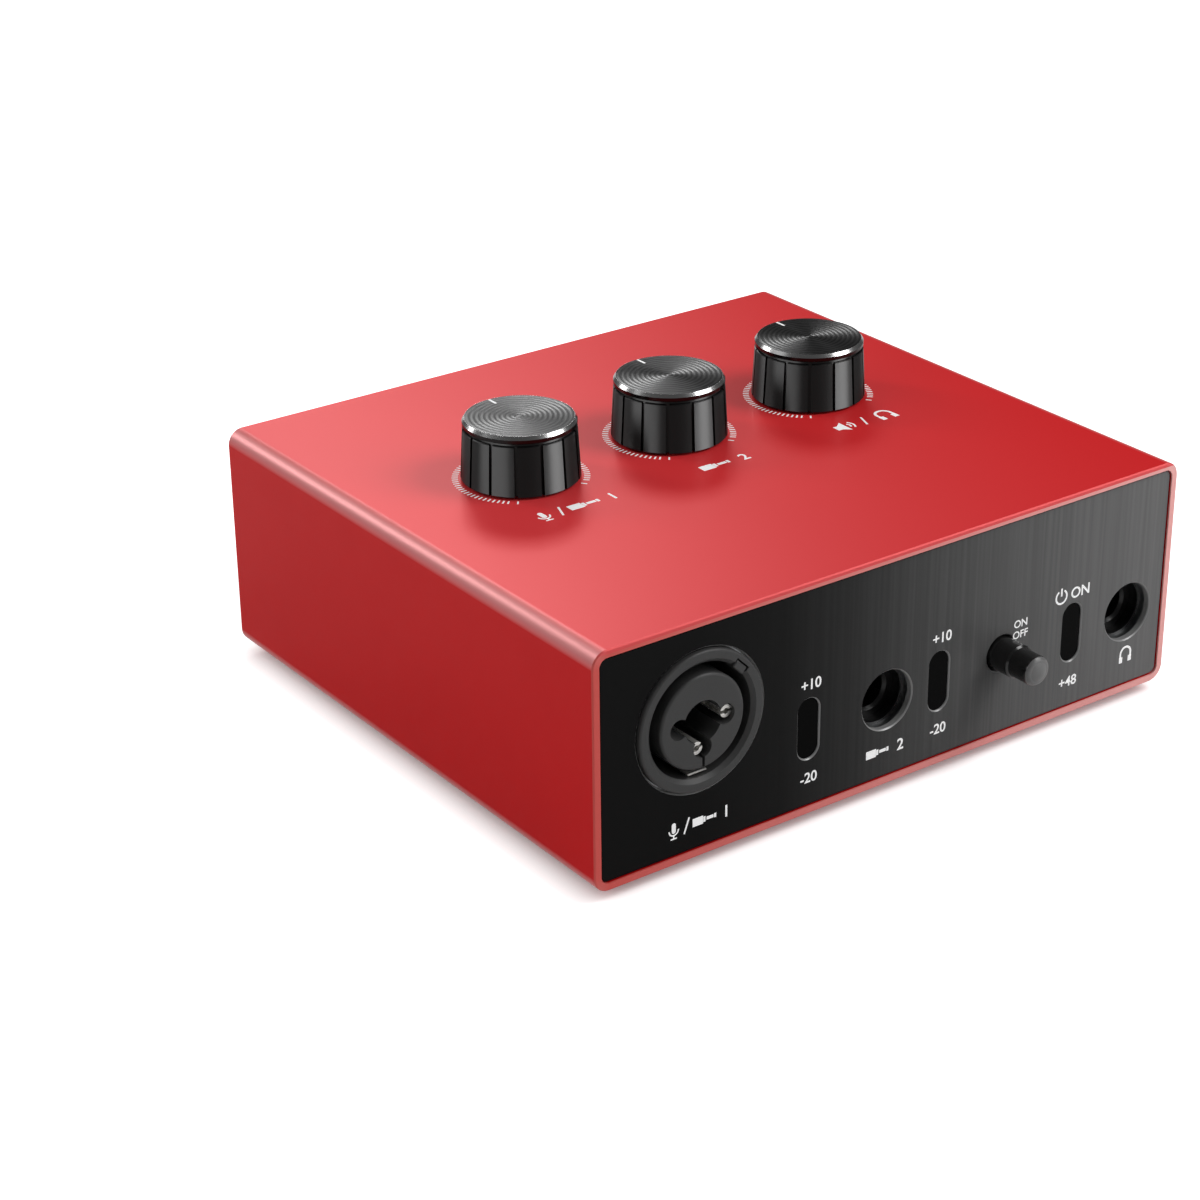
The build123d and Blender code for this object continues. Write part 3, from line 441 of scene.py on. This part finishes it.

# ---- Push buttons
# Stepped caps, moulded in glossy black ABS, with stems that run in the switches' bores. The dome
# at the end of the front one is duller, and painted paler grey as a painted highlight.
button_black, shader, place = finish_of(
    "glossy_black_abs", {"Specular IOR Level": 0.5, "Coat Weight": 0.3})
grain(button_black, shader, place, size=0.4 * mm, depth=0.001 * mm, roughness=(0.18, 0.26))
dapple(button_black, shader, place, size=0.4 * mm, colours=("161616", "1C1C1C"))
glossy_black = shader.inputs["Base Color"].links[0].from_socket
glossy_dull = shader.inputs["Roughness"].links[0].from_socket
dome_depth = 0.9 * mm
dome_roughness = 0.4
dome_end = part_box("monitor_button")[0].y + dome_depth
along = add(button_black, "ShaderNodeSeparateXYZ", {0: place})
on_dome = add(button_black, "ShaderNodeMath", {
    0: along.outputs["Y"], 1: dome_end}, operation="LESS_THAN")
# Painted highlight: the dome is painted paler grey.
dome_painted_highlight = add(button_black, "ShaderNodeMix", {
    0: on_dome.outputs[0], 6: glossy_black, 7: linear("6A6A6A")}, data_type="RGBA")
dome_dull = add(button_black, "ShaderNodeMix", {
    0: on_dome.outputs[0], 2: glossy_dull, 3: dome_roughness}, data_type="FLOAT")
feed(shader, {"Base Color": dome_painted_highlight.outputs[2], "Roughness": dome_dull.outputs[0]})
wear(button_black, "monitor_button", "phantom_button")

# ---- Rear panel and its screws
# Flat steel, powder-coated black, with a fine orange peel; black screws at its four corners.
powder = surface_of(
    "black_powder_coat", {"Specular IOR Level": 0.4},
    size=0.6 * mm, depth=0.02 * mm, colours=("141414", "1A1A1A"), roughness=(0.45, 0.6))
wear(powder, "rear_panel", "rear_screws")

# ---- Knobs
# A hollow grip, moulded in satin black with upright grooves, under a turned aluminium cap with a
# bright-cut edge. The grip's shading leans upward, so that it mirrors the lamps.
grip_black, shader, place = finish_of("satin_black_moulded_grip", {
    "Specular IOR Level": 1.0, "Anisotropic": 0.4, "Anisotropic Rotation": 0.25})
grain(grip_black, shader, place, size=0.3 * mm, depth=0.0005 * mm, roughness=(0.27, 0.33))
dapple(grip_black, shader, place, size=0.3 * mm, colours=("050505", "080808"))
grip_bump = shader.inputs["Normal"].links[0].from_node
lean = 0.42
facing = add(grip_black, "ShaderNodeNewGeometry", {}).outputs["Normal"]
leaned = add(grip_black, "ShaderNodeVectorMath", {0: facing, 1: (0, 0, lean)}, operation="ADD")
leaning = add(grip_black, "ShaderNodeVectorMath", {0: leaned.outputs[0]}, operation="NORMALIZE")
grip_black.node_tree.links.new(leaning.outputs[0], grip_bump.inputs["Normal"])
round_grip = add(grip_black, "ShaderNodeTangent", {}, direction_type="RADIAL", axis="Z")
feed(shader, {"Tangent": round_grip.outputs["Tangent"]})
wear(grip_black, "knob_1", "knob_2", "knob_3")

# Rings are turned into the cap's face, and drawn coarser than they are, so that they show. The
# cap's edge is cut bright, and the wall below stays black.
ring_pitch = 0.85 * mm
ring_depth = 0.016 * mm
cut_in = 0.46 * mm
cut_down = 0.58 * mm
face_roughness = 0.3
cut_roughness = 0.2
face_streak = 0.85
cap_centres = []
for number in (1, 2, 3):
    low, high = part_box(f"knob_cap_{number}")
    centre = (low + high) / 2
    cap_centres.append(centre)
    cap_top = high.z
    cap_radius = (high.x - low.x) / 2

    turned, shader, place = finish_of(
        f"turned_cap_{number}", {"Specular IOR Level": 0.3, "Anisotropic Rotation": 0.25})
    centred = add(turned, "ShaderNodeMapping", {
        "Vector": place, "Location": (-centre.x, -centre.y, 0), "Scale": (1, 1, 0)})
    radius = add(turned, "ShaderNodeVectorMath", {0: centred.outputs[0]}, operation="LENGTH")
    on_cut = add(turned, "ShaderNodeMath", {
        0: radius.outputs["Value"], 1: cap_radius - cut_in}, operation="GREATER_THAN")
    on_face = add(turned, "ShaderNodeMath", {0: 1.0, 1: on_cut.outputs[0]}, operation="SUBTRACT")
    rings = add(turned, "ShaderNodeMath", {
        0: radius.outputs["Value"], 1: 2 * pi / ring_pitch}, operation="MULTIPLY")
    wave = add(turned, "ShaderNodeMath", {0: rings.outputs[0]}, operation="SINE")
    bump = add(turned, "ShaderNodeBump", {
        "Height": wave.outputs[0], "Distance": ring_depth, "Strength": on_face.outputs[0]})
    ringed = add(turned, "ShaderNodeMapRange", {
        "Value": wave.outputs[0], "From Min": -1.0, "From Max": 1.0})
    face_tone = add(turned, "ShaderNodeMix", {
        0: ringed.outputs[0], 6: linear("343434"), 7: linear("565656")}, data_type="RGBA")
    bright = add(turned, "ShaderNodeMix", {
        0: on_cut.outputs[0], 6: face_tone.outputs[2], 7: linear("C8C8C8")}, data_type="RGBA")
    cap_place = add(turned, "ShaderNodeSeparateXYZ", {0: place})
    on_wall = add(turned, "ShaderNodeMath", {
        0: cap_place.outputs["Z"], 1: cap_top - cut_down}, operation="LESS_THAN")
    cap_tone = add(turned, "ShaderNodeMix", {
        0: on_wall.outputs[0], 6: bright.outputs[2], 7: linear("0A0A0A")}, data_type="RGBA")
    metal = add(turned, "ShaderNodeMath", {0: 1.0, 1: on_wall.outputs[0]}, operation="SUBTRACT")
    streak = add(turned, "ShaderNodeMath", {
        0: on_face.outputs[0], 1: face_streak}, operation="MULTIPLY")
    cap_dull = add(turned, "ShaderNodeMix", {
        0: on_cut.outputs[0], 2: face_roughness, 3: cut_roughness}, data_type="FLOAT")
    round_cap = add(turned, "ShaderNodeTangent", {}, direction_type="RADIAL", axis="Z")
    feed(shader, {
        "Base Color": cap_tone.outputs[2],
        "Metallic": metal.outputs[0],
        "Roughness": cap_dull.outputs[0],
        "Anisotropic": streak.outputs[0],
        "Normal": bump.outputs["Normal"],
        "Tangent": round_cap.outputs["Tangent"]})
    wear(turned, f"knob_cap_{number}")

# White paint in the pointer's slot. A weak glow keeps it white on shaded faces.
white_paint = surface_of(
    "white_paint",
    {"Specular IOR Level": 0.3, "Emission Color": linear("FFFFFF"), "Emission Strength": 0.25},
    size=0.4 * mm, depth=0.002 * mm, colours=("EDEDED", "F8F8F8"), roughness=(0.4, 0.5))
pointer_inner = 6.9 * mm
pointer_outer = 9.2 * mm
pointer_width = 0.48 * mm
pointer_depth = 0.2 * mm
pointer_sunk = 0.03 * mm
pointer_top = cap_top - pointer_sunk
knob_bodies = ("input_knob_1", "input_knob_2", "monitor_knob")
for number, centre, body in zip((1, 2, 3), cap_centres, knob_bodies):
    bm = bmesh.new()
    size = Matrix.Diagonal((pointer_width, pointer_outer - pointer_inner, pointer_depth, 1))
    middle_y = centre.y + (pointer_inner + pointer_outer) / 2
    middle = Vector((centre.x, middle_y, pointer_top - pointer_depth / 2))
    bmesh.ops.create_cube(bm, size=1, matrix=Matrix.Translation(middle) @ size)
    pointer = link_mesh(f"pointer_{number}", bm)
    pointer.data.materials.append(white_paint)
    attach(pointer, body)


# ---- Printing
# Fine ticks round each knob, and plain numbers and signs at the controls, screened in white ink.
# The drawings below are in millimetres, and each is laid in place when it is printed.
ink = 0.02 * mm
sleeve_top = sleeve_high.z
sleeve_bottom = sleeve_low.z
fascia_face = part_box("front_fascia")[0].y


def on_top(x, y):
    """The place of a drawing on the sleeve's top."""
    return Matrix.Translation((x * mm, y * mm, sleeve_top))


def on_front(x, height):
    """The place of a drawing on the fascia, at a height above the sleeve's underside."""
    place = Matrix.Translation((x * mm, fascia_face, sleeve_bottom + height * mm))
    return place @ Matrix.Rotation(pi / 2, 4, "X")


def ride_in_ink(piece):
    """Gives a piece its ink, and fixes it to the housing."""
    piece.data.materials.append(white_paint)
    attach(piece, "housing")


def printed(name, bm, place):
    """Gives a flat drawing the thickness of its ink, and lays it in place."""
    bmesh.ops.solidify(bm, geom=bm.faces[:], thickness=-ink / mm)
    bmesh.ops.recalc_face_normals(bm, faces=bm.faces[:])
    bmesh.ops.transform(bm, matrix=place @ Matrix.Scale(mm, 4), verts=bm.verts[:])
    ride_in_ink(link_mesh(name, bm))


def words(name, text, height, place):
    """Prints a number, ON or OFF in plain capitals of a height, centred in place."""
    capital_share = 0.72
    boldness = 0.02
    letters = bpy.data.curves.new(name, "FONT")
    letters.body = text
    letters.align_x = "CENTER"
    letters.align_y = "CENTER"
    letters.size = height / capital_share
    letters.extrude = ink / mm / 2
    letters.offset = boldness * height
    draft = bpy.data.objects.new(name + "_draft", letters)
    mesh = bpy.data.meshes.new_from_object(draft)
    bpy.data.objects.remove(draft)
    rows = [vertex.co.y for vertex in mesh.vertices]
    middle = (max(rows) + min(rows)) / 2
    stretch = Matrix.Diagonal((1, height / (max(rows) - min(rows)), 1, 1))
    mesh.transform(stretch @ Matrix.Translation((0, -middle, 0)))
    mesh.transform(place @ Matrix.Translation((0, 0, ink / 2)) @ Matrix.Scale(mm, 4))
    mesh.materials.clear()
    piece = bpy.data.objects.new(name, mesh)
    bpy.context.scene.collection.objects.link(piece)
    ride_in_ink(piece)


def bar(bm, x, y, width, height, turn=0.0):
    """A flat bar, centred at x, y and turned by an angle in degrees."""
    turned = Matrix.Translation((x, y, 0)) @ Matrix.Rotation(radians(turn), 4, "Z")
    lie = turned @ Matrix.Diagonal((width, height, 1, 1))
    bmesh.ops.create_grid(bm, x_segments=1, y_segments=1, size=0.5, matrix=lie)


def arc(bm, x, y, radius, stroke, start, sweep, steps=24):
    """A flat arc from start over sweep, in degrees, anticlockwise from the right."""
    turned = Matrix.Translation((x, y, 0)) @ Matrix.Rotation(radians(start), 4, "Z")
    stroke_ends = (radius - stroke / 2, radius + stroke / 2)
    ends = [bm.verts.new(turned @ Vector((end, 0, 0))) for end in stroke_ends]
    edge = bm.edges.new(ends)
    bmesh.ops.spin(
        bm, geom=ends + [edge], axis=(0, 0, 1), cent=(x, y, 0), angle=radians(sweep),
        steps=steps, use_merge=False)


tick_radius = 11.1
tick_length = 1.05
tick_width = 0.28
scale_end = 143.0
tick_step = 4.35
side_ticks = 31
tick_turns = [tick_step * i for i in range(-side_ticks, side_ticks + 1)] + [-scale_end, scale_end]
for number, centre in enumerate(cap_centres, start=1):
    bm = bmesh.new()
    for turn in tick_turns:
        out = radians(90 - turn)
        tick_x, tick_y = tick_radius * cos(out), tick_radius * sin(out)
        bar(bm, tick_x, tick_y, tick_length, tick_width, 90 - turn)
    printed(f"scale_{number}", bm, on_top(centre.x / mm, centre.y / mm))


def headphones(bm, size):
    """A head band over two pads."""
    band = 0.4 * size
    arc(bm, 0, 0.08 * size, band, 0.13 * size, 0, 180)
    for side in (-1, 1):
        bar(bm, side * band, -0.04 * size, 0.13 * size, 0.24 * size)
        bar(bm, side * (band - 0.05 * size), -0.3 * size, 0.26 * size, 0.36 * size)


def microphone(bm, size):
    """A round head, the arc of its holder, a stem and a base."""
    bar(bm, 0, 0.12 * size, 0.26 * size, 0.36 * size)
    arc(bm, 0, 0.3 * size, 0.065 * size, 0.13 * size, 0, 180, 12)
    arc(bm, 0, -0.06 * size, 0.065 * size, 0.13 * size, 180, 180, 12)
    arc(bm, 0, 0, 0.3 * size, 0.08 * size, 180, 180)
    bar(bm, 0, -0.4 * size, 0.08 * size, 0.2 * size)
    bar(bm, 0, -0.5 * size, 0.4 * size, 0.08 * size)


def jack_plug(bm, size):
    """A plug lying down: handle, collar, shank and tip."""
    bar(bm, -0.5 * size, 0, 0.6 * size, 0.42 * size)
    bar(bm, -0.12 * size, 0, 0.12 * size, 0.28 * size)
    bar(bm, 0.2 * size, 0, 0.4 * size, 0.16 * size)
    bar(bm, 0.5 * size, 0, 0.12 * size, 0.22 * size)


def power_sign(bm, size):
    """An open ring with a bar through its gap."""
    arc(bm, 0, 0, 0.42 * size, 0.12 * size, 120, 300)
    bar(bm, 0, 0.3 * size, 0.12 * size, 0.5 * size)


def slash(bm, size):
    """A slanted bar between two signs."""
    bar(bm, 0, 0, 0.11 * size, 1.05 * size, -20)


def speaker(bm, size):
    """A box, a cone that opens to the right, and two arcs of sound."""
    bar(bm, -0.36 * size, 0, 0.22 * size, 0.4 * size)
    corners = [(-0.25, -0.2), (0.05, -0.45), (0.05, 0.45), (-0.25, 0.2)]
    bm.faces.new([bm.verts.new((x * size, y * size, 0)) for x, y in corners])
    arc(bm, 0.05 * size, 0, 0.22 * size, 0.08 * size, -45, 90, 12)
    arc(bm, 0.05 * size, 0, 0.4 * size, 0.08 * size, -45, 90, 12)


def signs(name, place, *row):
    """Prints a row of signs in place. Each is a sign, its size, and how far right its middle is."""
    bm = bmesh.new()
    for sign, size, x in row:
        part = bmesh.new()
        sign(part, size)
        bmesh.ops.translate(part, vec=(x, 0, 0), verts=part.verts[:])
        mesh = bpy.data.meshes.new("sign")
        part.to_mesh(mesh)
        part.free()
        bm.from_mesh(mesh)
        bpy.data.meshes.remove(mesh)
    printed(name, bm, place)


# On the fascia: the level windows, the power window, the two inputs, the monitor button and
# the headphones
above_level, below_level = 23.2, 6.5
for number in (1, 2):
    low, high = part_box(f"window_lens_{number}")
    window_x = (low.x + high.x) / 2 / mm
    words(f"window_{number}_upper", "+10", 1.9, on_front(window_x + 0.3, above_level))
    words(f"window_{number}_lower", "-20", 1.9, on_front(window_x + 0.2, below_level))

above_power, below_power = 22.7, 6.1
signs("window_3_upper_sign", on_front(35.5, above_power), (power_sign, 2.9, 0))
words("window_3_upper", "ON", 2.0, on_front(39.9, above_power))
words("window_3_lower", "+48", 1.9, on_front(38.2, below_power))

below_socket, below_jack, below_headphones = 6.1, 6.3, 7.1
signs("socket_1_signs", on_front(-40.8, below_socket),
      (microphone, 3.0, -4.9), (slash, 2.7, -2.4), (jack_plug, 3.4, 1.5))
words("socket_1_number", "1", 2.1, on_front(-35.4, below_socket))
signs("socket_2_sign", on_front(-3.9, below_jack), (jack_plug, 3.5, 0))
words("socket_2_number", "2", 2.1, on_front(0.6, below_jack))
words("monitor_on", "ON", 1.4, on_front(26.4, 20.6))
words("monitor_off", "OFF", 1.4, on_front(26.4, 18.6))
signs("headphone_sign", on_front(51.9, below_headphones), (headphones, 3.0, 0))

# On the top, in front of each knob
label_y = -9.3
signs("knob_1_signs", on_top(-31.4, label_y),
      (microphone, 3.6, -6.6), (slash, 3.2, -3.2), (jack_plug, 4.4, 2.0))
words("knob_1_number", "1", 2.4, on_top(-24.2, label_y))
signs("knob_2_sign", on_top(-2.2, label_y), (jack_plug, 4.4, 0))
words("knob_2_number", "2", 2.4, on_top(3.4, label_y))
signs("knob_3_signs", on_top(30.8, label_y),
      (speaker, 4.2, -5.0), (slash, 3.2, -0.6), (headphones, 3.8, 4.2))
